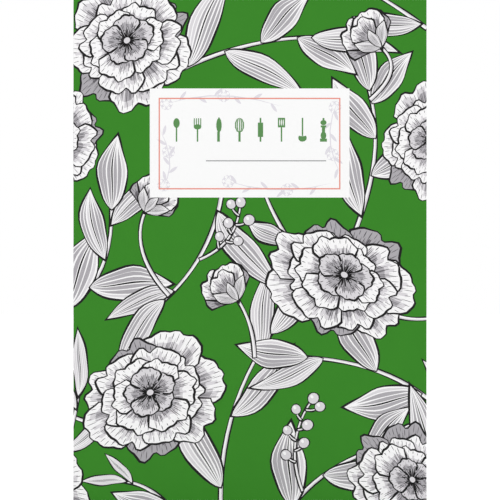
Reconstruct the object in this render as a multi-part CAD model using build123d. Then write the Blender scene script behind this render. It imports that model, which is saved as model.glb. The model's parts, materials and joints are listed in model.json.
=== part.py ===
from build123d import *
import os

# An A5 softcover recipe book, glued at the spine, with an alphabet index cut down its fore edge.
# It stands on its tail. X runs from the spine to the fore edge, Y from the front cover to the
# back cover, and Z from the tail to the head. The origin is the middle of the tail.

# Trimmed size, millimetres
page_width = 148
page_height = 210

# Paper, card and glue
paper = 0.105
leaf_air = 0.01  # air between one leaf and the next
cover_card = 0.3
glue_film = 0.5

# Alphabet index: each section of leaves has its tab one step below the one in front
letter_pairs = ["ab", "cd", "ef", "gh", "ij", "kl", "mn", "op", "qr", "st", "uv", "wx", "yz"]
leaves_per_section = 8
tab_depth = 7
tab_corner = 2  # round on the free corner of each tab
step_corner = 1  # round in the inner corner under each tab

# Worked out from the sizes above
leaf_pitch = paper + leaf_air
section_pitch = leaves_per_section * leaf_pitch
block_thickness = len(letter_pairs) * section_pitch
book_thickness = block_thickness + 2 * cover_card
tab_height = page_height / len(letter_pairs)

spine_x = -page_width / 2
glue_x = spine_x + cover_card
leaf_x = glue_x + glue_film
fore_x = page_width / 2
front_y = -book_thickness / 2
block_y = front_y + cover_card
back_y = book_thickness / 2


def plate(x_low, x_high, y_low, y_high):
    """A flat piece that runs from tail to head between four planes."""
    width, depth = x_high - x_low, y_high - y_low
    centre = Pos((x_low + x_high) / 2, (y_low + y_high) / 2, page_height / 2)
    return centre * Box(width, depth, page_height)


def section_faces(number):
    """Front and rear planes of a section's paper, half the air inside its share of the block."""
    y_low = block_y + number * section_pitch + leaf_air / 2
    return y_low, y_low + section_pitch - leaf_air


def page_outline(number):
    """One page seen from the front: full width down to the foot of its tab, cut back below."""
    foot = page_height - (number + 1) * tab_height
    if number == len(letter_pairs) - 1:
        corners = [(leaf_x, 0), (fore_x, 0), (fore_x, page_height), (leaf_x, page_height)]
        return make_face(Polyline(*corners, close=True))
    step_x = fore_x - tab_depth
    corners = [(leaf_x, 0), (step_x, 0), (step_x, foot), (fore_x, foot)]
    corners += [(fore_x, page_height), (leaf_x, page_height)]
    page = make_face(Polyline(*corners, close=True))
    under_tab = page.vertices().filter_by_position(Axis.Y, foot, foot).sort_by(Axis.X)
    page = fillet(under_tab[-1], min(tab_corner, tab_depth / 2, tab_height / 2))
    under_tab = page.vertices().filter_by_position(Axis.X, step_x, step_x).sort_by(Axis.Y)
    return fillet(under_tab[-1], min(step_corner, tab_depth / 2, tab_height / 2))


def leaves(number):
    """The leaves of one section, each its own sheet with air on both sides."""
    outline = page_outline(number)
    first_y = section_faces(number)[0] + paper
    rear_faces = [first_y + leaf * leaf_pitch for leaf in range(leaves_per_section)]
    return Compound(children=[extrude(Plane.XZ.offset(-y) * outline, paper) for y in rear_faces])


def glue(number):
    """Hot-melt glue along the spine edges of one section."""
    return plate(glue_x, leaf_x, *section_faces(number))


def spine(number):
    """The strip of the cover's spine that covers one section."""
    return plate(spine_x, glue_x, *section_faces(number))


os.makedirs("parts", exist_ok=True)
export_step(plate(spine_x, fore_x, front_y, block_y), "parts/front_cover.step")
export_step(plate(spine_x, fore_x, -block_y, back_y), "parts/back_cover.step")
for number, pair in enumerate(letter_pairs):
    export_step(leaves(number), f"parts/leaves_{pair}.step")
    export_step(glue(number), f"parts/glue_{pair}.step")
    export_step(spine(number), f"parts/spine_{pair}.step")
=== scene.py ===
import json
import math
import random

import bpy
from mathutils import Matrix, Vector


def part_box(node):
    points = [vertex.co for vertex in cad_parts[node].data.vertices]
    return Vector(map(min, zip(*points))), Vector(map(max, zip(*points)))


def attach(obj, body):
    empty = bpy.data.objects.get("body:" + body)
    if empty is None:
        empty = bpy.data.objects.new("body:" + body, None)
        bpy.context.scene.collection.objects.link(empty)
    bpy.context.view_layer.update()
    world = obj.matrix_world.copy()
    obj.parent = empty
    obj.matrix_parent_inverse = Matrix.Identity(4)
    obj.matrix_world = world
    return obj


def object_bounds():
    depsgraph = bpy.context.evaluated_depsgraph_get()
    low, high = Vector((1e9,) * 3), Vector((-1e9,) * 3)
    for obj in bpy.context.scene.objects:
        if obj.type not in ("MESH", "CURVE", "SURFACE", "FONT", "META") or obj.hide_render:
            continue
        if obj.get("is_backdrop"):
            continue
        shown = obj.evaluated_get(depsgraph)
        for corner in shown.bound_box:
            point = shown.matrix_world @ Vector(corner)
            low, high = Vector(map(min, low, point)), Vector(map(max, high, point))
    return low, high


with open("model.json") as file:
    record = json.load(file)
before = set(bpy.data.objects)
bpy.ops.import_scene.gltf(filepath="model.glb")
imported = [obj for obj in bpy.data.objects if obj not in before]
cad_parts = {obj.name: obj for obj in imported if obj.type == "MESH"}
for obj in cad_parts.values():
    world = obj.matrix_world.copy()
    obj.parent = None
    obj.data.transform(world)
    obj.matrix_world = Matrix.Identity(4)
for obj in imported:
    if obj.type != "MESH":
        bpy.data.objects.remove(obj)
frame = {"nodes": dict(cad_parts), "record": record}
cadLow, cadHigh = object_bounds()

mm = 0.001
pairs = [body.split("_")[0] for body in frame["record"]["behaviour"]["bodies"] if body.endswith("_section")]
pairs.sort()

# Sizes read from the frame, in metres
spineX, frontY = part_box("front_cover")[0].x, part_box("front_cover")[0].y
foreX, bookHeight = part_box("front_cover")[1].x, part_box("front_cover")[1].z
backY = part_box("back_cover")[1].y
bookWidth, bookThickness = foreX - spineX, backY - frontY
tabHeight = bookHeight / len(pairs)


class Socket:  # a shader socket that does maths
    def __init__(self, nodes, out):
        self.nodes, self.out = nodes, out

    def maths(self, operation, a, b):
        return self.nodes.add("Math", {"operation": operation}, {0: a, 1: b})

    def __add__(self, other):
        return self.maths("ADD", self, other)

    def __sub__(self, other):
        return self.maths("SUBTRACT", self, other)

    def __rsub__(self, other):
        return self.maths("SUBTRACT", other, self)

    def __mul__(self, other):
        return self.maths("MULTIPLY", self, other)

    def __gt__(self, other):
        return self.maths("GREATER_THAN", self, other)

    def __lt__(self, other):
        return self.maths("LESS_THAN", self, other)

    __radd__ = __add__


class Nodes:  # the nodes of one material, or of the world
    def __init__(self, owner, shader="Principled BSDF"):
        owner.use_nodes = True
        self.owner, self.tree = owner, owner.node_tree
        self.shader = self.tree.nodes[shader]

    def feed(self, socket, value):
        if isinstance(value, Socket):
            self.tree.links.new(value.out, socket)
        else:
            socket.default_value = value

    def add(self, kind, settings, values, out=0):
        node = self.tree.nodes.new("ShaderNode" + kind)
        for key, value in settings.items():
            setattr(node, key, value)
        for key, value in values.items():
            self.feed(node.inputs[key], value)
        return Socket(self, node.outputs[out])

    def set(self, **values):
        for key, value in values.items():
            self.feed(self.shader.inputs[key.replace("_", " ")], value)
        return self.owner

    def place(self, stretch=(1, 1, 1)):
        where = self.add("TexCoord", {}, {}, "Object")
        return self.add("Mapping", {}, {"Vector": where, "Scale": stretch})

    def along(self, axis):
        return self.add("SeparateXYZ", {}, {0: self.place()}, axis)

    def noise(self, scale, detail=2.0, stretch=(1, 1, 1)):
        return self.add("TexNoise", {}, {"Vector": self.place(stretch), "Scale": scale, "Detail": detail})

    def mix(self, fac, a, b):
        return self.add("Mix", {"data_type": "RGBA"}, {0: fac, 6: a, 7: b}, 2)

    def bump(self, height, strength, distance):
        return self.add("Bump", {}, {"Height": height, "Strength": strength, "Distance": distance})


def linear(red, green, blue):  # screen values 0 to 255 as the light values that shaders take
    shares = [value / 255 for value in (red, green, blue)]
    return tuple(s / 12.92 if s <= 0.04045 else ((s + 0.055) / 1.055) ** 2.4 for s in shares) + (1.0,)


def newPaint(name):
    return Nodes(bpy.data.materials.new(name))


# Cover card: printed and matt laminated outside, white board inside and on the cut edges
coverCard = {
    "print": [(47, 130, 22), (51, 134, 26)],
    "board": [(238, 237, 232), (250, 249, 246)],
    "skin": 0.02 * mm,
    "mottle": 90,
    "grain": 2600,
    "boardRough": 0.74,
    "lamination": 0.26,  # how much smoother the laminated side is
    "unevenness": 0.08,
    "grainDepth": 0.02 * mm,
}


def printedCard():
    paint = newPaint("printedCard")
    x, y = paint.along("X"), paint.along("Y")
    skin = coverCard["skin"]
    outside = (y < frontY + skin) + (y > backY - skin) + (x < spineX + skin)
    mottle, grain = paint.noise(coverCard["mottle"]), paint.noise(coverCard["grain"], 1)
    green = paint.mix(mottle, *[linear(*colour) for colour in coverCard["print"]])
    board = paint.mix(grain, *[linear(*colour) for colour in coverCard["board"]])
    rough = coverCard["boardRough"] - outside * coverCard["lamination"] + mottle * coverCard["unevenness"]
    return paint.set(Base_Color=paint.mix(outside, board, green), Roughness=rough, Specular_IOR_Level=0.25,
                     Normal=paint.bump(grain, 0.15, coverCard["grainDepth"]))


# Leaves: uncoated paper, with painted shade at the block's edges for the shade in the gaps between the
# sheets, and the ink of the tabs at their edges
leafPaper = {
    "paper": [(241, 238, 228), (251, 249, 242)],
    # painted shade: colour of the darker streaks between the sheets at the edges of the block
    "betweenSheets": (202, 197, 180),
    "tabInk": (84, 150, 70),
    "tabDepth": 7 * mm,
    "bleed": 0.3 * mm,
    "margin": 0.8 * mm,  # bare paper above and below the ink of each tab
    "fibre": 1900,
    "fibreDepth": 0.04 * mm,
    "cloud": 140,
    "streak": 55,
    "streakStretch": (60, 14),  # across the sheets, for the fine streaks and the coarse ones
    "edgeShade": (1.3, 0.25),  # how strongly the painted shade streaks show, and how much of them stays pale
    "inkCover": (0.45, 0.5),  # everywhere on a tab, and on top of that where a streak is
}


def pagePaper(number):
    paint = newPaint(f"pagePaper_{pairs[number]}")
    x, z = paint.along("X"), paint.along("Z")
    fibre, cloud = paint.noise(leafPaper["fibre"], 4), paint.noise(leafPaper["cloud"])
    streak, (fine, coarse) = leafPaper["streak"], leafPaper["streakStretch"]
    # streaks across the sheets, for the painted shade between them and for the uneven ink of the tabs
    sheets = paint.noise(streak, 3, (1, fine, 1)) * 0.5 + paint.noise(streak, 2, (1, coarse, 1)) * 0.5
    paper = paint.mix(cloud * 0.6 + fibre * 0.4, *[linear(*colour) for colour in leafPaper["paper"]])
    bleed, margin = leafPaper["bleed"], leafPaper["margin"]
    atEdge = (x > foreX - bleed) + (z > bookHeight - bleed) + (z < bleed)
    (strong, pale), (even, streaked) = leafPaper["edgeShade"], leafPaper["inkCover"]
    # Painted shade: darker streaks at the edges of the block, where the gaps between the sheets would be in
    # shade
    paper = paint.mix(atEdge * (sheets * strong - pale), paper, linear(*leafPaper["betweenSheets"]))
    foot = bookHeight - (number + 1) * tabHeight
    inked = (x > foreX - bleed) * (z > foot + margin) * (z < foot + tabHeight - margin)
    colour = paint.mix(inked * (even + sheets * streaked), paper, linear(*leafPaper["tabInk"]))
    return paint.set(Base_Color=colour, Roughness=0.85, Specular_IOR_Level=0.2,
                     Normal=paint.bump(fibre, 0.3, leafPaper["fibreDepth"]))


# Glue: cream hot melt with slow lumps
hotMelt = {"cream": [(226, 216, 184), (240, 233, 208)], "lumps": 420, "lumpDepth": 0.1 * mm}


def setGlue():
    paint = newPaint("setGlue")
    lumps = paint.noise(hotMelt["lumps"], 3)
    colour = paint.mix(lumps, *[linear(*shade) for shade in hotMelt["cream"]])
    return paint.set(Base_Color=colour, Roughness=0.35 + lumps * 0.25,
                     Normal=paint.bump(lumps, 0.5, hotMelt["lumpDepth"]))


def dressNode(name, material):
    mesh = frame["nodes"][name].data
    mesh.materials.clear()
    mesh.materials.append(material)


card, glue = printedCard(), setGlue()
for number, pair in enumerate(pairs):
    dressNode(f"leaves_{pair}", pagePaper(number))
    dressNode(f"glue_{pair}", glue)
    dressNode(f"spine_{pair}", card)
dressNode("front_cover", card)
dressNode("back_cover", card)
print("card, paper and glue dressed")

# Printing inks, each one even colour
inkColours = {
    "black": (14, 12, 14),
    "white": (253, 252, 253),
    "light": (222, 219, 223),
    "mid": (175, 172, 177),
    "dark": (124, 120, 126),
    "hatch": (56, 53, 58),
    "label": (254, 254, 254),
    "coral": (236, 148, 134),
    "tool": (92, 144, 84),
    "pale": (228, 225, 232),
    "rule": (120, 122, 124),
    "flag": (62, 134, 48),
    "form": (136, 156, 132),
}
inkOrder = list(inkColours)
inks = [newPaint(name + "Ink").set(Base_Color=linear(*colour), Roughness=0.5, Specular_IOR_Level=0.25)
        for name, colour in inkColours.items()]


# Drawing. A drawing lies flat: x across, y up the page, z out of the paper
def newGrid(name, columns, rows):
    bpy.ops.object.select_all(action="DESELECT")
    bpy.ops.mesh.primitive_grid_add(x_subdivisions=columns, y_subdivisions=rows, size=1)
    grid = bpy.context.object
    grid.name = name
    for ink in inks:
        grid.data.materials.append(ink)
    return grid


def joined(parts, name):
    bpy.ops.object.select_all(action="DESELECT")
    for part in parts:
        part.select_set(True)
    bpy.context.view_layer.objects.active = parts[0]
    if len(parts) > 1:
        bpy.ops.object.join()
    parts[0].name = parts[0].data.name = name
    return parts[0]


def copied(source, name, move=Matrix()):
    piece = source.copy()
    piece.data = source.data.copy()
    piece.name = name
    bpy.context.collection.objects.link(piece)
    piece.data.transform(move)
    return piece


def faceUp(mesh):
    for face in mesh.polygons:
        if face.normal.z < 0:
            face.flip()


inkLine = {  # the black line round a patch
    "swells": 3,
    "swell": 0.34,
    "sharpest": 0.2,  # keeps it from running far out at a sharp corner
    "merge": 0.004 * mm,  # points of the patch nearer than this become one
}


def inkedPatch(name, columns, rows, place, inkOf, line, seed=0):
    # A sheet of columns by rows, shaped by place(column, row), with a black line of uneven weight round it
    patch = newGrid(name, columns, rows)
    mesh = patch.data
    for face in mesh.polygons:
        column, row = int((face.center.x + 0.5) * columns), int((face.center.y + 0.5) * rows)
        face.material_index = inkOrder.index(inkOf(column, row))
    for corner in mesh.vertices:
        corner.co = place(round((corner.co.x + 0.5) * columns), round((corner.co.y + 0.5) * rows))
    bpy.ops.object.mode_set(mode="EDIT")
    bpy.ops.mesh.select_all(action="SELECT")
    bpy.ops.mesh.remove_doubles(threshold=inkLine["merge"])
    bpy.ops.mesh.normals_make_consistent(inside=False)
    bpy.ops.mesh.region_to_loop()
    bpy.ops.mesh.extrude_edges_move(TRANSFORM_OT_translate={"value": (0, 0, 0)})
    bpy.ops.object.mode_set(mode="OBJECT")
    rim = {corner.index for corner in mesh.vertices if corner.select}
    beside = {index: [] for index in rim}
    for edge in mesh.edges:
        a, b = edge.vertices
        if a in rim and b in rim:
            beside[a].append(b)
            beside[b].append(a)
    start = min(rim)
    loop = [start, beside[start][0]]
    while len(loop) < len(rim):
        loop.append([index for index in beside[loop[-1]] if index != loop[-2]][0])
    spots = [mesh.vertices[index].co.copy() for index in loop]
    turns = sum(a.x * b.y - b.x * a.y for a, b in zip(spots, spots[1:] + spots[:1]))
    side = 1 if turns > 0 else -1
    for number, index in enumerate(loop):
        before = (spots[number] - spots[number - 1]).normalized()
        after = (spots[(number + 1) % len(spots)] - spots[number]).normalized()
        outA, outB = Vector((before.y, -before.x, 0)) * side, Vector((after.y, -after.x, 0)) * side
        swell = inkLine["swell"] * math.sin(math.tau * inkLine["swells"] * number / len(loop) + seed)
        outward = (outA + outB) * (line * (1 + swell))
        mesh.vertices[index].co += outward / max(1 + outA.dot(outB), inkLine["sharpest"])
    for face in mesh.polygons:
        if sum(index in rim for index in face.vertices) == 2:
            face.material_index = inkOrder.index("black")
    faceUp(mesh)
    patch.hide_render = True
    return patch


penShape = {"rows": 5, "fullness": 0.6, "reach": 0.02, "merge": 0.001}  # the last two are shares of a stroke

# A lens of width and length 1, copied for every stroke of the pen
penStroke = newGrid("penStroke", 1, penShape["rows"])
for corner in penStroke.data.vertices:
    up = corner.co.y + 0.5
    corner.co = (corner.co.x * max(0.0, math.sin(math.pi * up)) ** penShape["fullness"], up, 0)
bpy.ops.object.mode_set(mode="EDIT")
bpy.ops.mesh.select_all(action="SELECT")
bpy.ops.mesh.remove_doubles(threshold=penShape["merge"])
bpy.ops.object.mode_set(mode="OBJECT")
penStroke.hide_render = True


def pen(path, width, ink, height=0.0):
    # One stroke along path(0 to 1)
    stroke = copied(penStroke, "stroke")
    near = penShape["reach"]
    for corner in stroke.data.vertices:
        t = corner.co.y
        along = (path(min(t + near, 1)) - path(max(t - near, 0))).normalized()
        spot = path(t) + Vector((along.y, -along.x, 0)) * corner.co.x * width
        corner.co = (spot.x, spot.y, height)
    for face in stroke.data.polygons:
        face.material_index = inkOrder.index(ink)
    faceUp(stroke.data)
    stroke.hide_render = False
    return stroke


def through(a, b, c):  # smooth path from a to c that passes through b half way
    a, b, c = [Vector((spot[0], spot[1], 0)) * mm for spot in (a, b, c)]
    pull = 2 * b - (a + c) / 2
    return lambda t: a * (1 - t) ** 2 + pull * 2 * t * (1 - t) + c * t * t


drawnLift = {"hatch": 0.0008 * mm, "anther": 0.001 * mm, "eye": 0.0015 * mm}  # over the rest of their motif

leafKinds = {  # sizes in mm; widest and bend are shares of the length
    "broadLeaf": {"length": 46, "width": 18, "widest": 0.46, "bend": 0.1, "seed": 1},
    "longLeaf": {"length": 56, "width": 15, "widest": 0.42, "bend": 0.16, "seed": 2},
    "curvedLeaf": {"length": 50, "width": 14, "widest": 0.45, "bend": -0.25, "seed": 3},
    "hookedLeaf": {"length": 44, "width": 15, "widest": 0.5, "bend": 0.28, "seed": 4},
    "slimLeaf": {"length": 38, "width": 8.5, "widest": 0.46, "bend": -0.16, "seed": 5},
    "smallLeaf": {"length": 22, "width": 9, "widest": 0.5, "bend": 0.14, "seed": 6},
}
leafShape = {  # across the leaf in shares of its half width, along it in shares of its length
    "rows": 15,
    "tip": 1.05,
    "line": 1.0 * mm,
    "rib": (0, 0.052, -0.05, 1.02, "black"),  # place, half width, start, stop and ink, as a streak has them
    "perSide": 3,  # streaks of grey on each side of the rib
    "first": 0.08,
    "run": 0.88,
    "scatter": 0.02,
    "half": (0.08, 0.13),
    "start": (-0.1, 0.12),
    "stop": (0.82, 1.08),
    "lightOnes": 0.22,
    "ribWave": (0.012, 7),  # how far and how fast it wanders
    "streakWave": (0.02, 6),
    "edgeWave": (0.07, 11),
}


def leafModel(name, length, width, widest, bend, seed):
    rng = random.Random(seed)
    rows, tip, perSide, scatter = [leafShape[part] for part in ("rows", "tip", "perSide", "scatter")]
    base = tip * widest / (1 - widest)
    top = widest**base * (1 - widest) ** tip
    streaks = [leafShape["rib"]]
    for number in range(2 * perSide):
        side = 1 if number % 2 else -1
        slot = (number // 2 + 0.5) / perSide
        centre = side * (leafShape["first"] + leafShape["run"] * slot + rng.uniform(-scatter, scatter))
        ink = "light" if rng.random() < leafShape["lightOnes"] else "mid"
        half, start, stop = [rng.uniform(*leafShape[part]) for part in ("half", "start", "stop")]
        streaks.append((centre, half, start, stop, ink))
    streaks.sort()
    columns = 2 * len(streaks) + 1
    waves = [rng.uniform(0, math.tau) for number in range(3)]
    ribFar, ribFast = leafShape["ribWave"]
    streakFar, streakFast = leafShape["streakWave"]
    edgeFar, edgeFast = leafShape["edgeWave"]

    def place(column, row):
        s = row / rows
        s = 0.5 * s + 0.25 * (1 - math.cos(math.pi * s))
        share = -1.0 if column == 0 else 1.0
        if 0 < column < columns:
            centre, half, start, stop, ink = streaks[(column - 1) // 2]
            part = max(0.0, min(1.0, (s - start) / (stop - start)))
            edge = 1 if (column - 1) % 2 else -1
            share = centre + edge * half * max(0.0, math.sin(math.pi * part)) ** 0.5
            share += streakFar * math.sin(streakFast * s + waves[0])
        half = width / 2 * s**base * (1 - s) ** tip / top
        half *= 1 + edgeFar * math.sin(edgeFast * s + waves[1 if share > 0 else 2])
        lean = Vector((2 * bend * s, 1, 0)).normalized()
        spot = Vector((length * (bend * s * s + ribFar * math.sin(ribFast * s)), length * s, 0))
        return (spot + Vector((lean.y, -lean.x, 0)) * share * half) * mm

    def inkOf(column, row):
        return streaks[column // 2][4] if column % 2 else "white"

    return inkedPatch(name, columns, rows, place, inkOf, leafShape["line"], seed)


petalKinds = {  # reach in mm, half angle of the fan in degrees, shade: how far out the grey at the base runs
    "outerPetal": {"reach": 32, "spread": 32, "fill": "white", "shade": 0.82, "strokes": 36, "seed": 1},
    "wavyPetal": {"reach": 33, "spread": 29, "fill": "white", "shade": 0.85, "strokes": 36, "seed": 5},
    "greyPetal": {"reach": 30, "spread": 30, "fill": "mid", "shade": 0.85, "strokes": 36, "seed": 2},
    "secondPetal": {"reach": 25, "spread": 32, "fill": "white", "shade": 0.8, "strokes": 30, "seed": 8},
    "middlePetal": {"reach": 18.5, "spread": 37, "fill": "white", "shade": 0.75, "strokes": 24, "seed": 3},
    "innerPetal": {"reach": 11.5, "spread": 42, "fill": "light", "shade": 0.8, "strokes": 14, "seed": 4},
    "budPetal": {"reach": 19, "spread": 31, "fill": "white", "shade": 0.84, "strokes": 20, "seed": 5},
    "budOuterPetal": {"reach": 18.5, "spread": 34, "fill": "white", "shade": 0.8, "strokes": 20, "seed": 1},
    "budGreyPetal": {"reach": 17.4, "spread": 32, "fill": "mid", "shade": 0.84, "strokes": 20, "seed": 2},
}
petalShape = {  # across the petal in shares of its half fan, outwards in shares of its reach
    "columns": 18,
    "rows": [0.0, 0.3, 0.5, 0.6, 0.68, 0.76, 0.84, 0.93, 1.0],
    "fullFrom": 0.62,  # where the fan has opened fully
    "narrow": 0.38,  # how much narrower the fan is at the base
    "shoulders": (0.2, 3.2),  # how far the rim drops at the sides, and how abruptly
    "waves": [(3, 5, 0.03), (7, 9, 0.028), (13, 16, 0.018)],  # of the rim: slowest, fastest, size
    "notch": (0.3, 0.06, 8),  # furthest from the middle, depth, narrowness
    "ragged": 0.07,
    "paleBand": 0.12,  # of paler grey outside the grey at the base
    "line": 0.82 * mm,
    "side": 0.92,  # the outermost strokes
    "scatter": (0.3, 0.7),
    "start": (0.5, 0.6),
    "past": (-0.05, 0.14),  # how far past the grey they stop
    "latest": 0.93,
    "rimEvery": 3,  # one stroke in so many is at the rim instead
    "rimStart": (0.8, 0.9),
    "rimStop": 0.985,
    "thick": (0.2, 0.34),  # in mm
}


def petalModel(name, reach, spread, fill, shade, strokes, seed):
    rng = random.Random(seed)
    columns, outs, uneven = petalShape["columns"], petalShape["rows"], petalShape["ragged"]
    fullFrom, narrow = petalShape["fullFrom"], petalShape["narrow"]
    drop, abrupt = petalShape["shoulders"]
    furthest, depth, narrowness = petalShape["notch"]
    waves = [(rng.uniform(slow, fast), size) for slow, fast, size in petalShape["waves"]]
    waves = [(pace, size, rng.uniform(0, math.tau)) for pace, size in waves]
    ragged = [rng.uniform(-uneven, uneven) for column in range(columns)]
    notch = rng.uniform(-furthest, furthest)

    def spot(across, out):  # across from -1 to 1, out from 0 at the base to 1 at the rim
        opened = 1 - narrow + narrow * math.sin(math.pi * min(out, fullFrom) / (2 * fullFrom))
        fan = math.radians(spread) * across * opened
        far = reach * (1 - drop * abs(across) ** abrupt)
        far *= 1 + sum(size * math.sin(pace * across + start) for pace, size, start in waves)
        far *= 1 - depth * math.exp(-((across - notch) * narrowness) ** 2)
        return Vector((math.sin(fan), math.cos(fan), 0)) * far * out * mm

    def inkOf(column, row):
        far = outs[row] + ragged[column]
        if far < shade - petalShape["paleBand"]:
            return "dark" if fill == "mid" else "mid"
        return "light" if far < shade and fill == "white" else fill

    def place(column, row):
        return spot(2 * column / columns - 1, outs[row])

    drawn = [inkedPatch(name, columns, len(outs) - 1, place, inkOf, petalShape["line"], seed)]
    side, (least, most) = petalShape["side"], petalShape["past"]
    for number in range(strokes):
        across = 2 * side * (number + rng.uniform(*petalShape["scatter"])) / strokes - side
        start = rng.uniform(*petalShape["start"])
        stop = rng.uniform(shade + least, min(shade + most, petalShape["latest"]))
        if number % petalShape["rimEvery"] == 0:
            start, stop = rng.uniform(*petalShape["rimStart"]), petalShape["rimStop"]
        thick = rng.uniform(*petalShape["thick"]) * mm
        stroke = pen(lambda t: spot(across, start + (stop - start) * t), thick, "hatch", drawnLift["hatch"])
        drawn.append(stroke)
    return joined(drawn, name)


ovalKinds = {  # sizes in mm, and a line of 0 for none
    "berry": {"wide": 3.9, "tall": 4.2, "fill": "light", "line": 0.4},
    "glint": {"wide": 1.2, "tall": 1.6, "fill": "white", "line": 0},
    "anther": {"wide": 0.8, "tall": 1.3, "fill": "mid", "line": 0.2},
    "eye": {"wide": 3.0, "tall": 3.0, "fill": "light", "line": 0.4},
    "disc": {"wide": 1, "tall": 1, "fill": "tool", "line": 0},
}
stamenRing = {"count": 40, "scatter": 4, "length": (3.4, 6.8), "thick": 0.5, "seed": 5}  # in degrees and mm


def ovalModel(name, wide, tall, fill, line):
    rows = 6

    def place(column, row):
        angle = math.pi * row / rows
        return Vector(((column - 1) * wide / 2 * math.sin(angle), -tall / 2 * math.cos(angle), 0)) * mm

    oval = inkedPatch(name, 2, rows, place, lambda column, row: fill, max(line, 0.001) * mm)
    if not line:
        for face in oval.data.polygons:
            face.material_index = inkOrder.index(fill)
    return oval


def stamensModel(name):
    rng = random.Random(stamenRing["seed"])
    drawn = []
    count, scatter = stamenRing["count"], stamenRing["scatter"]
    for number in range(count):
        angle = math.radians(number * 360 / count + rng.uniform(-scatter, scatter))
        out = Vector((math.sin(angle), math.cos(angle), 0)) * mm
        far = rng.uniform(*stamenRing["length"])
        drawn.append(pen(lambda t: out * (1 + (far - 1) * t), stamenRing["thick"] * mm, "black"))
        if number % 2:
            tip = out * far + Vector((0, 0, drawnLift["anther"]))
            move = Matrix.Translation(tip) @ Matrix.Rotation(-angle, 4, "Z")
            drawn.append(copied(models["anther"], "anther", move))
    drawn.append(copied(models["eye"], "eye", Matrix.Translation((0, 0, drawnLift["eye"]))))
    return joined(drawn, name)


models = {name: leafModel(name, **kind) for name, kind in leafKinds.items()}
models.update({name: petalModel(name, **kind) for name, kind in petalKinds.items()})
models.update({name: ovalModel(name, **kind) for name, kind in ovalKinds.items()})
models["stamens"] = stamensModel("stamens")
for model in models.values():
    model.hide_render = True
print("motifs modelled:", len(models))

repeat = bookWidth + bookThickness  # the pattern runs on round the spine to the back
levelStep = 0.0023 * mm
placed = []  # (box, level) of each motif on the sheet
drawing = []


def layDown(piece):
    # Puts a motif just above whatever it covers, also where the pattern repeats
    spots = [corner.co for corner in piece.data.vertices]
    lowX, highX = min(p.x for p in spots), max(p.x for p in spots)
    lowY, highY = min(p.y for p in spots), max(p.y for p in spots)
    under = [level for (a, b, c, d), level in placed for shift in (-repeat, 0, repeat)
             if lowX < b + shift and a + shift < highX and lowY < d and c < highY]
    level = 1 + max(under, default=0)
    placed.append(((lowX, highX, lowY, highY), level))
    piece.data.transform(Matrix.Translation((0, 0, level * levelStep)))
    piece.hide_render = False
    drawing.append(piece)


def stamp(kind, across, up, turn, size=1.0, squash=1.0, lean=0.0):
    # turn is clockwise from straight up; squash and lean foreshorten a flower seen from one side
    lean = math.radians(lean)
    tilt = Matrix.Rotation(lean, 4, "Z") @ Matrix.Diagonal((1, squash, 1, 1)) @ Matrix.Rotation(-lean, 4, "Z")
    spin = Matrix.Rotation(-math.radians(turn), 4, "Z") @ Matrix.Diagonal((size, size, 1, 1))
    layDown(copied(models[kind], kind, Matrix.Translation((across * mm, up * mm, 0)) @ tilt @ spin))


def heading(path, t):
    along = path(min(t + 0.01, 1)) - path(max(t - 0.01, 0))
    return math.degrees(math.atan2(along.x, along.y))


stalkShape = {"rows": 12, "shadeFrom": 0.1, "foot": 1.1, "taper": 0.4, "line": 0.54 * mm}


def stalk(points, thick=1.3):
    # A pale stalk along a smooth line through three points
    path = through(*points)
    shares, rows = (-1, stalkShape["shadeFrom"], 1), stalkShape["rows"]

    def place(column, row):
        t = row / rows
        angle = math.radians(heading(path, t))
        across = Vector((math.cos(angle), -math.sin(angle), 0))
        edge = across * shares[column] * thick / 2
        return path(t) + edge * (stalkShape["foot"] - stalkShape["taper"] * t) * mm

    def inkOf(column, row):
        return ("white", "light")[column]

    layDown(inkedPatch("stalk", 2, rows, place, inkOf, stalkShape["line"]))
    return path


sprigShape = {
    "first": 0.14,  # the lowest leaf, as a share of the stalk
    "run": 0.76,  # from there to the highest leaf on the side of the stalk
    "scatter": 9,  # in degrees, like the next
    "closing": 10,  # how much nearer to the stalk the leaves lie towards its tip
    "full": 0.98,  # the rest are shares of the sprig's size
    "taper": 0.27,
    "grow": (0.93, 1.07),
    "end": 0.8,
}


def sprig(points, leaves, kinds, size=1.0, opening=46, seed=1):
    # A stalk with leaves on alternate sides and one at its end, shorter towards its tip
    rng = random.Random(seed)
    path = stalk(points)
    scatter = sprigShape["scatter"]
    for number in range(leaves):
        t = sprigShape["first"] + sprigShape["run"] * number / max(leaves - 1, 1)
        spot = path(t) / mm
        side = 1 if number % 2 else -1
        opened = opening + rng.uniform(-scatter, scatter) - sprigShape["closing"] * t
        kind, grow = rng.choice(kinds), sprigShape["full"] - sprigShape["taper"] * t
        grow = size * grow * rng.uniform(*sprigShape["grow"])
        stamp(kind, spot.x, spot.y, heading(path, t) + side * opened, grow)
    spot = path(1) / mm
    stamp(kinds[0], spot.x, spot.y, heading(path, 1), size * sprigShape["end"])


flowerShape = {
    "rings": [  # petal kinds, how many, turn of the ring, how far its middle moves along the lean
        (("outerPetal", "wavyPetal", "greyPetal"), 7, 0, 0.0),
        (("secondPetal",), 7, 26, 0.6),
        (("middlePetal",), 6, 8, 1.2),
        (("innerPetal",), 5, 50, 1.9),
    ],
    "depth": 8,  # mm for each 1 of that move, in a flower squashed to nothing
    "scatter": 6,  # in degrees
    "grow": (0.88, 1.08),
}


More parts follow.
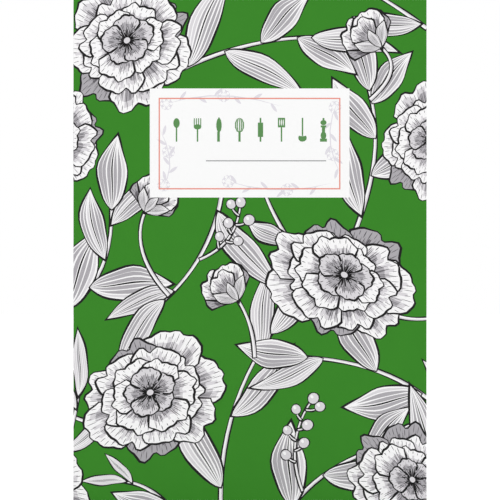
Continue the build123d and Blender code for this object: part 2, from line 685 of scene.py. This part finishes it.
def flower(across, up, size, turn, squash=0.9, lean=20, seed=1):
    # An open garden flower: rings of petals round a ring of stamens
    rng = random.Random(seed)
    toward = Vector((math.sin(math.radians(-lean)), math.cos(math.radians(-lean)), 0))
    toward = toward * (1 - squash) * flowerShape["depth"]
    scatter = flowerShape["scatter"]
    for kinds, count, start, shift in flowerShape["rings"]:
        middle = Vector((across, up, 0)) + toward * shift
        for number in list(range(0, count, 2)) + list(range(1, count, 2)):
            kind = kinds[(number + seed) % len(kinds)]
            angle = turn + start + number * 360 / count + rng.uniform(-scatter, scatter)
            stamp(kind, middle.x, middle.y, angle, size * rng.uniform(*flowerShape["grow"]), squash, lean)
    stamp("stamens", middle.x, middle.y, turn, size, squash, lean)


bellShape = {  # petals and sepals are laid down in this order: turn, kind, size
    "stalk": 1.2,
    "petals": [(-34, "budGreyPetal", 0.84), (36, "budGreyPetal", 0.82), (-15, "budPetal", 0.9),
               (19, "budOuterPetal", 0.88), (0, "budPetal", 0.76)],
    "sepals": [(-44, "smallLeaf", 0.5), (46, "smallLeaf", 0.5), (3, "smallLeaf", 0.4)],
}


def bell(points, size=1.0, nod=0):
    # A half-open flower seen from the side, on its stalk
    path = stalk(points, bellShape["stalk"])
    spot, turn = path(1) / mm, heading(path, 1) + nod
    for spread, kind, grow in bellShape["petals"] + bellShape["sepals"]:
        stamp(kind, spot.x, spot.y, turn + spread, size * grow)


berryShape = {  # lengths in mm, turns in degrees
    "stalks": (0.8, 0.5),  # widths of the main stalk and of the side stalks
    "first": 0.3,  # the lowest side stalk, as a share of the main one
    "turn": 48,
    "reach": (4.5, 6),
    "bow": 0.12,
    "grow": (0.9, 1.15),
    "glint": (-0.6, 0.7, -30),  # across and up from the berry's middle, turn
}


def berries(points, count, seed):
    # A bare stalk with berries on short side stalks
    rng = random.Random(seed)
    mainThick, sideThick = berryShape["stalks"]
    first, (glintX, glintY, glintTurn) = berryShape["first"], berryShape["glint"]
    path = stalk(points, mainThick)
    for number in range(count):
        t = first + (1 - first) * number / max(count - 1, 1)
        root, side, last = path(t) / mm, 1 if number % 2 else -1, number == count - 1
        angle = math.radians(heading(path, t) + (0 if last else side * berryShape["turn"]))
        reach = 1 if last else rng.uniform(*berryShape["reach"])
        out = Vector((math.sin(angle), math.cos(angle), 0)) * reach
        end, bow = root + out, root + out * 0.5 + Vector((out.y, -out.x, 0)) * berryShape["bow"] * side
        if not last:
            stalk([root, bow, end], sideThick)
        stamp("berry", end.x, end.y, math.degrees(angle), rng.uniform(*berryShape["grow"]))
        stamp("glint", end.x + glintX, end.y + glintY, glintTurn)


# The printed sheet, in mm from the front cover's lower left corner: stalks and leaves first, then flowers
sprigs = [  # three points of the stalk, leaves, kinds, size, opening, seed
    ([(62, -6), (66, 34), (83, 70)], 3, ["longLeaf", "curvedLeaf"], 0.9, 44, 1),
    ([(152, 40), (128, 54), (98, 60)], 3, ["broadLeaf", "longLeaf"], 0.8, 44, 2),
    ([(-10, 76), (10, 94), (16, 122)], 4, ["broadLeaf", "hookedLeaf"], 0.84, 46, 3),
    ([(62, 128), (54, 104), (38, 84)], 2, ["curvedLeaf", "broadLeaf"], 0.84, 46, 4),
    ([(117, 110), (126, 143), (124, 172)], 4, ["broadLeaf", "hookedLeaf"], 0.8, 44, 5),
    ([(40, 178), (70, 190), (100, 194)], 4, ["longLeaf", "broadLeaf"], 0.8, 46, 6),
    ([(88, -8), (104, 10), (128, 22)], 3, ["broadLeaf", "curvedLeaf"], 0.82, 48, 7),
    ([(-14, 4), (-4, 20), (2, 44)], 3, ["slimLeaf", "curvedLeaf"], 0.9, 42, 8),
    ([(94, 104), (84, 120), (78, 136)], 2, ["slimLeaf", "smallLeaf"], 0.95, 42, 9),
    ([(148, 198), (138, 205), (124, 214)], 2, ["longLeaf", "hookedLeaf"], 0.66, 46, 10),
    ([(44, -8), (34, 3), (22, 8)], 2, ["slimLeaf", "broadLeaf"], 0.6, 44, 11),
]
joins = [  # bare stalks that lead sprigs over the spine to other motifs
    [(172, 33), (163, 34), (151, 40.6)],
    [(-38, 84), (-24, 77), (-9, 76.6)],
    [(-28, -8), (-20, -3), (-13.6, 4.6)],
    [(168, 193), (158, 194), (147, 198.6)],
]
bells = [  # three points of the stalk, size, how far the flower nods
    ([(124.4, 168), (133, 180), (129, 190)], 1.0, 0),
    ([(40, 86), (29, 104), (30, 121)], 0.9, 10),
    ([(76, 60), (74, 73), (69, 84)], 0.95, -10),
]
berryStalks = [  # three points of the stalk, berries, seed
    ([(96, 4), (93, 24), (100, 42)], 7, 3),
    ([(53, 101), (65, 110), (70, 124)], 6, 4),
]
flowers = [  # across, up, size, turn, squash, lean, seed
    (24, 191, 0.95, 10, 0.84, 40, 1),
    (112, 92, 1.0, 40, 0.8, -30, 2),
    (33, 43, 0.97, 75, 0.84, 20, 3),
    (151, 150, 0.8, 20, 0.86, 50, 4),
    (140, 7, 0.88, 5, 0.82, -50, 5),
    (74, 150, 0.74, 60, 0.86, 15, 6),
]
for points in joins:
    stalk(points)
for shape in sprigs:
    sprig(*shape)
for shape in berryStalks:
    berries(*shape)
for shape in bells:
    bell(*shape)
for shape in flowers:
    flower(*shape)
print("motifs drawn:", len(drawing), "on levels:", max(level for box, level in placed))
artwork = joined(drawing, "artwork")


def without(piece, unwanted):
    # Deletes the faces for which unwanted holds
    bpy.ops.object.mode_set(mode="EDIT")
    bpy.ops.mesh.select_mode(type="FACE")
    bpy.ops.mesh.select_all(action="DESELECT")
    bpy.ops.object.mode_set(mode="OBJECT")
    for face in piece.data.polygons:
        face.select = unwanted(face)
    bpy.ops.object.mode_set(mode="EDIT")
    bpy.ops.mesh.delete(type="FACE")
    bpy.ops.mesh.select_mode(type="VERT")
    bpy.ops.object.mode_set(mode="OBJECT")


onCut = 1e-7  # metres from a cut within which a point lies on it


def trimmed(piece, lowX, highX, lowY, highY, window=False):
    # Cuts a drawing to a rectangle, as the guillotine cuts the printed sheet, or leaves that window bare
    joined([piece], piece.name)
    bpy.ops.object.mode_set(mode="EDIT")
    for spot, out in (((lowX, 0, 0), (-1, 0, 0)), ((highX, 0, 0), (1, 0, 0)),
                      ((0, lowY, 0), (0, -1, 0)), ((0, highY, 0), (0, 1, 0))):
        bpy.ops.mesh.select_all(action="SELECT")
        bpy.ops.mesh.bisect(plane_co=spot, plane_no=out, clear_outer=not window, threshold=onCut)
    bpy.ops.object.mode_set(mode="OBJECT")
    if window:
        without(piece, lambda face: lowX < face.center.x < highX and lowY < face.center.y < highY)
    return piece


sliver = 1e-7 * mm * mm  # area of the faces, too small to see, that cutting leaves


def folded(piece, facing, originX, originY, body):
    # Takes a flat drawing to the face of the book that it is printed on
    turns = {"front": ((1, 0, 0), (0, 0, -1), (0, 1, 0)), "back": ((-1, 0, 0), (0, 0, 1), (0, 1, 0)),
             "spine": ((0, 0, -1), (-1, 0, 0), (0, 1, 0))}
    joined([piece], piece.name)
    without(piece, lambda face: face.area < sliver)
    bpy.ops.object.material_slot_remove_unused()
    piece.data.transform(Matrix.Translation((originX, originY, 0)) @ Matrix(turns[facing]).to_4x4())
    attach(piece, body)


def ruled(name, xs, ys, inkOf):
    # Rectangles between the lines xs and ys, each in the ink that inkOf names, and none where it names none
    columns, rows = len(xs) - 1, len(ys) - 1
    drawing = newGrid(name, columns, rows)
    bare = set()
    for face in drawing.data.polygons:
        ink = inkOf(int((face.center.x + 0.5) * columns), int((face.center.y + 0.5) * rows))
        if ink is None:
            bare.add(face.index)
        face.material_index = inkOrder.index(ink or "white")
    for corner in drawing.data.vertices:
        corner.co = (xs[round((corner.co.x + 0.5) * columns)], ys[round((corner.co.y + 0.5) * rows)], 0)
    if bare:
        without(drawing, lambda face: face.index in bare)
    return drawing


def outlined(name, lowX, highX, lowY, highY, line, ink):
    return ruled(name, (lowX, lowX + line, highX - line, highX), (lowY, lowY + line, highY - line, highY),
                 lambda column, row: None if column == row == 1 else ink)


def panel(name, lowX, highX, lowY, highY, ink):
    return ruled(name, (lowX, highX), (lowY, highY), lambda column, row: ink)


# Label: white with a coral frame, a row of kitchen tools and a line for a name. Sizes in mm
label = {
    "low": 32.0,
    "high": 115.7,
    "foot": 127.0,
    "head": 172.7,
    "frame": (35.7, 111.9, 130.4, 168.8),
    "line": 0.54,
    "tools": (43.2, 150.4),
    "toolPitch": 8.8,
    "nameLine": (55.5, 105.9, 142.2, 142.55),
    # How far each part lies over the card, in thousandths of a mm
    "lifts": {"ground": 3, "stalk": 6, "leaf": 7, "blossom": 9, "frame": 18, "tool": 21, "nameLine": 21},
}
foldRoom = {"middle": 0.1 * mm, "others": 0.004 * mm}  # bare card beside each fold, where print would meet

copies = [copied(artwork, "artworkCopy", Matrix.Translation((turn * repeat, 0, 0))) for turn in (-2, -1, 1)]
sheet = joined([artwork] + copies, "sheet")
frontArt = trimmed(copied(sheet, "line_art_front_cover"), 0, bookWidth, 0, bookHeight)
trimmed(frontArt, label["low"] * mm, label["high"] * mm, label["foot"] * mm, label["head"] * mm, True)
backArt = trimmed(copied(sheet, "line_art_back_cover"), -repeat, -bookThickness, 0, bookHeight)
folded(frontArt, "front", spineX, frontY, "front_cover")
folded(backArt, "back", spineX - bookThickness, backY, "back_cover")
spineArt = trimmed(sheet, -bookThickness, 0, 0, bookHeight)
strips = ["front_cover"] + [pair + "_section" for pair in pairs] + ["back_cover"]
borders = [frontY] + [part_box(f"spine_{pair}")[0].y for pair in pairs]
borders += [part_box("back_cover")[0].y, backY]
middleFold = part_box("spine_mn")[0].y
rooms = [foldRoom["middle" if y == middleFold else "others"] for y in borders]
for number, body in enumerate(strips):
    low, high = frontY - borders[number + 1] + rooms[number + 1], frontY - borders[number] - rooms[number]
    strip = copied(spineArt, f"line_art_spine_{body.replace('_section', '')}")
    trimmed(strip, low, high, 0, bookHeight)
    folded(strip, "spine", spineX, frontY, body)
bpy.data.objects.remove(spineArt)
print("covers printed, faces:", len(frontArt.data.polygons), len(backArt.data.polygons))

labelArt, lifts = [], label["lifts"]


def onLabel(piece, lift):
    # Adds a part of the label, lifted by so many thousandths of a mm to lie over what it covers
    piece.data.transform(Matrix.Translation((0, 0, lift * 0.001 * mm)))
    labelArt.append(piece)


def loopPath(x, y, wide, tall, start, turn):
    def spot(t):
        angle = start + turn * t
        return Vector((x + wide * math.cos(angle), y + tall * math.sin(angle), 0)) * mm

    return spot


scrollShape = {  # sizes in mm, turns in degrees
    "scrolls": [  # three points of each stalk, and where along it the blossoms are
        ([(38, 166), (62, 169.7), (88, 165)], (0.02, 0.52)),
        ([(111, 168), (107.5, 152), (112.4, 136)], (0.1, 0.72)),
        ([(108, 133), (86, 130.2), (64, 134)], (0.42, 0.98)),
        ([(37, 131), (40.4, 142), (36, 156)], (0.06, 0.66)),
    ],
    "stalk": 0.5,
    "leafSpots": (0.14, 0.3, 0.44, 0.6, 0.76, 0.9),
    "leafTurn": 40,
    "leaf": (4.6, 1.3),
    "petals": 6,
    "ring": 1.5,
    "petal": 1.1,
    "petalLine": 0.45,
    "petalArc": 2.6,  # in radians, of each half of a petal's outline
}


def faintScroll(points, blossoms):
    # Faint trailing stalk with leaves and round blossoms, behind the frame
    path = through(*points)
    onLabel(pen(path, scrollShape["stalk"] * mm, "pale"), lifts["stalk"])
    leafLong, leafWide = scrollShape["leaf"]
    for number, t in enumerate(scrollShape["leafSpots"]):
        root, side = path(t), 1 if number % 2 else -1
        angle = math.radians(heading(path, t) + side * scrollShape["leafTurn"])
        out = Vector((math.sin(angle), math.cos(angle), 0)) * leafLong * mm
        onLabel(pen(lambda u: root + out * u, leafWide * mm, "pale"), lifts["leaf"] + number % 2)
    petals, ring, wide = scrollShape["petals"], scrollShape["ring"], scrollShape["petal"]
    for t in blossoms:
        middle = path(t) / mm
        for petal in range(petals):
            angle = math.tau * petal / petals + t
            x, y = middle.x + ring * math.cos(angle), middle.y + ring * math.sin(angle)
            for side in (1, -1):
                half = loopPath(x, y, wide, wide, angle, side * scrollShape["petalArc"])
                lift = lifts["blossom"] + (2 * petal + (side > 0)) % 6
                onLabel(pen(half, scrollShape["petalLine"] * mm, "pale"), lift)


# Kitchen tools. Each part has a shape, its place across the tool, three sizes in mm, and its lift over the
# rest in thousandths of a mm. The sizes of a bar, blade or slit are its foot, head and width, and those of an
# oval, hollow or wire its middle, width and height. Heights are from the foot of the tool
toolKinds = {
    "spoon": [("bar", 0, 0, 6.4, 0.6, 0), ("oval", 0, 7.8, 2.7, 4.2, 2)],
    "fork": [("bar", 0, 0, 6, 0.6, 0), ("oval", 0, 6.2, 3.2, 2.2, 2)]
    + [("bar", across, 6.2, 9.8, 0.42, 4) for across in (-1.35, -0.45, 0.45, 1.35)],
    "knife": [("bar", 0, 0, 4.2, 1.1, 0), ("blade", 0.2, 3.4, 10.4, 2.3, 2)],
    "whisk": [("bar", 0, 0, 4.4, 0.9, 0)]
    + [("wire", 0, 6.9, wide, 3.1, 1 + n) for n, wide in enumerate((-1.75, -1.0, 0.1, 1.0, 1.75))],
    "rollingPin": [("bar", 0, 0, 10, 0.7, 0), ("bar", 0, 2, 8, 2.2, 2)],
    "turner": [("bar", 0, 0, 6.4, 0.6, 0), ("bar", 0, 6, 10, 3, 2)]
    + [("slit", across, 6.6, 9.5, 0.42, 4) for across in (-0.75, 0, 0.75)],
    "ladle": [("oval", 0, 1.6, 3.6, 3.2, 2), ("hollow", 0, 2.8, 3.3, 1.0, 4), ("bar", 0, 2.4, 10, 0.6, 6)],
    "pepperMill": [("bar", 0, 0, 1.3, 2.9, 0), ("oval", 0, 2.6, 2.4, 3.4, 2), ("bar", 0, 2.4, 6.2, 1.3, 4),
                   ("bar", 0, 6, 6.8, 2.3, 6), ("oval", 0, 8, 2.6, 2.2, 8), ("oval", 0, 9.5, 0.9, 1.0, 10)],
}
wireThick = 0.5


def bar(x, y, foot, head, wide, ink):
    return panel("bar", (x - wide / 2) * mm, (x + wide / 2) * mm, (y + foot) * mm, (y + head) * mm, ink)


def lens(x, y, foot, head, wide, ink):
    low, high = Vector((x, y + foot, 0)) * mm, Vector((x, y + head, 0)) * mm
    return pen(lambda t: low + (high - low) * t, wide * mm, ink)


def oval(x, y, middle, wide, tall, ink):
    move = Matrix.Translation((x * mm, (y + middle) * mm, 0)) @ Matrix.Diagonal((wide, tall, 1, 1))
    disc = copied(models["disc"], "disc", move)
    disc.hide_render = False
    for face in disc.data.polygons:
        face.material_index = inkOrder.index(ink)
    return disc


def wire(x, y, middle, wide, tall, ink):
    return pen(loopPath(x, y + middle, wide, tall, -math.pi / 2, math.pi), wireThick * mm, ink)


low, high, foot, head = [label[side] * mm for side in ("low", "high", "foot", "head")]
onLabel(panel("label", low, high, foot, head, "label"), lifts["ground"])
for points, blossoms in scrollShape["scrolls"]:
    faintScroll(points, blossoms)
frameSides = [side * mm for side in label["frame"]]
onLabel(outlined("frameLine", *frameSides, label["line"] * mm, "coral"), lifts["frame"])
makers = {"bar": (bar, "tool"), "blade": (lens, "tool"), "slit": (lens, "label"),
          "oval": (oval, "tool"), "hollow": (oval, "label"), "wire": (wire, "tool")}
for number, parts in enumerate(toolKinds.values()):
    x, y = label["tools"][0] + label["toolPitch"] * number, label["tools"][1]
    for shape, across, *sizes, over in parts:
        maker, ink = makers[shape]
        onLabel(maker(x + across, y, *sizes, ink), lifts["tool"] + over)
onLabel(panel("nameLine", *[side * mm for side in label["nameLine"]], "rule"), lifts["nameLine"])
folded(joined(labelArt, "label_panel"), "front", spineX, frontY, "front_cover")
print("label made")

# Recipe forms and index letters on the first and last page of each section, sizes in mm
pageForm = {
    "inner": 13,
    "outer": 6,
    "head": 14,
    "foot": 13,
    "rule": 0.26,
    "pitch": 7.4,
    "box": 2.8,
    "lists": 11,  # ruled lines of the list with tick boxes
    "split": 0.38,  # its share of the width
    "ruleEnds": (1.7, 2),  # its lines' distance from its sides, in box widths
    "underHead": 1.1,  # the line under the heading and the first ruled line, in pitches
    "firstRule": 2.2,
    "lift": 0.002,
}
flagShape = {
    "gap": 0.5,
    "edge": 0.02,
    "corner": 2,
    "segments": 5,
    "letter": 5.4,
    "letterUp": 0.62,  # from the middle of the tab, as a share of the letter's size
    "letterLift": 0.003,
}
pageLift, letterLift = pageForm["lift"] * mm, flagShape["letterLift"] * mm
leafX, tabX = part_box(f"leaves_{pairs[0]}")[0].x, foreX - leafPaper["tabDepth"]
formWidth = tabX - pageForm["outer"] * mm - leafX - pageForm["inner"] * mm


def recipeForm():
    # Heading, a list with tick boxes beside notes, and ruled lines below them, from x = 0
    rule, pitch, box = pageForm["rule"] * mm, pageForm["pitch"] * mm, pageForm["box"] * mm
    head, split = bookHeight - pageForm["head"] * mm, formWidth * pageForm["split"]
    count = int((head - pageForm["foot"] * mm) / pitch) - 1
    heights = [head - (pageForm["firstRule"] + number) * pitch for number in range(count)][::-1]
    ruleFrom, ruleTo = pageForm["ruleEnds"]
    xs = (0, ruleFrom * box, split - ruleTo * box, split, formWidth)
    ys = [y + thick for y in heights for thick in (0, rule)]
    underHead = head - pageForm["underHead"] * pitch

    def inkOf(column, row):
        if row % 2:
            return None
        listed = row // 2 >= count - pageForm["lists"]
        return None if listed and column in (0, 2) else "form"

    parts = [ruled("rules", xs, ys, inkOf),
             panel("heading", 0, formWidth, head, head + 2 * rule, "flag"),
             panel("heading", 0, formWidth, underHead, underHead + rule, "form")]
    tick = outlined("tickBox", 0, box, 0, box, rule, "form")
    for y in heights[-pageForm["lists"]:]:
        parts.append(copied(tick, "tickBox", Matrix.Translation((0, y, 0))))
    bpy.data.objects.remove(tick)
    return joined(parts, "recipeForm")


def tabFlag(side, rounded):
    # Printed tab of one page, its foot at y = 0, with its outer corner rounded like the paper's
    gap, edge = flagShape["gap"] * mm, flagShape["edge"] * mm
    low, high = sorted((side * (tabX + gap), side * (foreX - edge)))
    flag = panel("tabFlag", low, high, edge, tabHeight - gap, "flag")
    bpy.ops.object.mode_set(mode="EDIT")
    bpy.ops.mesh.select_all(action="DESELECT")
    bpy.ops.object.mode_set(mode="OBJECT")
    for corner in flag.data.vertices:
        corner.select = corner.co.x * side > foreX - 2 * edge and corner.co.y < 2 * edge
    bpy.ops.object.mode_set(mode="EDIT")
    if rounded:
        corner, segments = flagShape["corner"] * mm, flagShape["segments"]
        bpy.ops.mesh.bevel(offset=corner, segments=segments, affect="VERTICES")
    bpy.ops.object.mode_set(mode="OBJECT")
    return flag


def letterShape(letter):
    bpy.ops.object.select_all(action="DESELECT")
    bpy.ops.object.text_add()
    text = bpy.context.object.data
    text.body, text.size, text.resolution_u = letter, flagShape["letter"] * mm, 3
    text.align_x, text.align_y = "CENTER", "CENTER"
    bpy.ops.object.convert(target="MESH")
    shape = bpy.context.object
    shape.data.materials.clear()
    for paint in inks:
        shape.data.materials.append(paint)
    for face in shape.data.polygons:
        face.material_index = inkOrder.index("label")
    faceUp(shape.data)
    return shape


form = recipeForm()
letters = {letter: letterShape(letter.upper()) for letter in "".join(pairs)}
for facing, side in (("front", 1), ("back", -1)):
    # side is 1 where x runs away from the spine and -1 where it runs back to it
    formX = leafX + pageForm["inner"] * mm if side > 0 else -tabX + pageForm["outer"] * mm
    flags = [tabFlag(side, True), tabFlag(side, False)]
    for number, pair in enumerate(pairs):
        foot = bookHeight - (number + 1) * tabHeight
        parts = [copied(form, "form", Matrix.Translation((formX, 0, pageLift))),
                 copied(flags[number == len(pairs) - 1], "flag", Matrix.Translation((0, foot, pageLift)))]
        for letter, up in zip(pair, (flagShape["letterUp"], -flagShape["letterUp"])):
            spot = Vector((side * (tabX + foreX + flagShape["gap"] * mm) / 2,
                           foot + tabHeight / 2 + up * flagShape["letter"] * mm, letterLift))
            parts.append(copied(letters[letter], letter, Matrix.Translation(spot)))
        low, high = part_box(f"leaves_{pair}")
        folded(joined(parts, f"page_print_{facing}_{pair}"), facing, 0, low.y if side > 0 else high.y,
               f"{pair}_section")
    for flag in flags:
        bpy.data.objects.remove(flag)
for model in [form, penStroke] + list(letters.values()) + list(models.values()):
    bpy.data.objects.remove(model)
print("pages printed")

# Floor, light and camera
studio = {
    "floor": 6,
    "floorGrey": 0.86,
    "lift": 0.34,  # glow of the floor towards the camera
    "sky": 0.89,
    "key": {"spot": (-1.2, -1.6, 1.9), "size": 1.4, "watts": 10.7},
    "fill": {"spot": (1.5, 1.2, 1.6), "size": 1.4, "watts": 6},
    "distance": 1.05,
    "overscan": 1.002,  # lets the cover run just past the picture's top and bottom
    "sensor": 36,
    "farthest": 20,
}

bpy.ops.object.select_all(action="DESELECT")
bpy.ops.mesh.primitive_plane_add(size=studio["floor"], location=(0, 0, 0))
floor = bpy.context.object
floor.name = "floor"
floorPaint = newPaint("floorPaint")
grey = studio["floorGrey"]
seen = floorPaint.add("LightPath", {}, {}, "Is Camera Ray")
floorPaint.set(Base_Color=(grey, grey, grey, 1), Roughness=0.9, Specular_IOR_Level=0.1,
               Emission_Color=(1, 1, 1, 1), Emission_Strength=seen * studio["lift"])
floor.data.materials.append(floorPaint.owner)
floor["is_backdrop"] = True

bpy.context.scene.world = bpy.data.worlds.new("studio")
sky = Nodes(bpy.context.scene.world, "Background")
seen = sky.add("LightPath", {}, {}, "Is Camera Ray")
sky.set(Color=(1, 1, 1, 1), Strength=seen * (1 - studio["sky"]) + studio["sky"])


def softLamp(name, spot, size, watts):
    aim = Vector((0, 0, bookHeight / 2)) - Vector(spot)
    bpy.ops.object.light_add(type="AREA", location=spot, rotation=aim.to_track_quat("-Z", "Y").to_euler())
    lamp = bpy.context.object
    lamp.name, lamp.data.shape, lamp.data.size, lamp.data.energy = name, "DISK", size, watts


softLamp("keyLamp", **studio["key"])
softLamp("fillLamp", **studio["fill"])

distance = studio["distance"]
bpy.ops.object.camera_add(location=(0, frontY - distance, bookHeight / 2), rotation=(math.pi / 2, 0, 0))
camera = bpy.context.object
camera.data.sensor_width = studio["sensor"]
camera.data.lens = camera.data.sensor_width * distance / bookHeight * studio["overscan"]
camera.data.clip_end = studio["farthest"]
bpy.context.scene.camera = camera
bpy.context.scene.view_settings.view_transform = "Standard"

low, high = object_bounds()
{"cad": [list(cadLow), list(cadHigh)], "visual": [list(low), list(high)]}
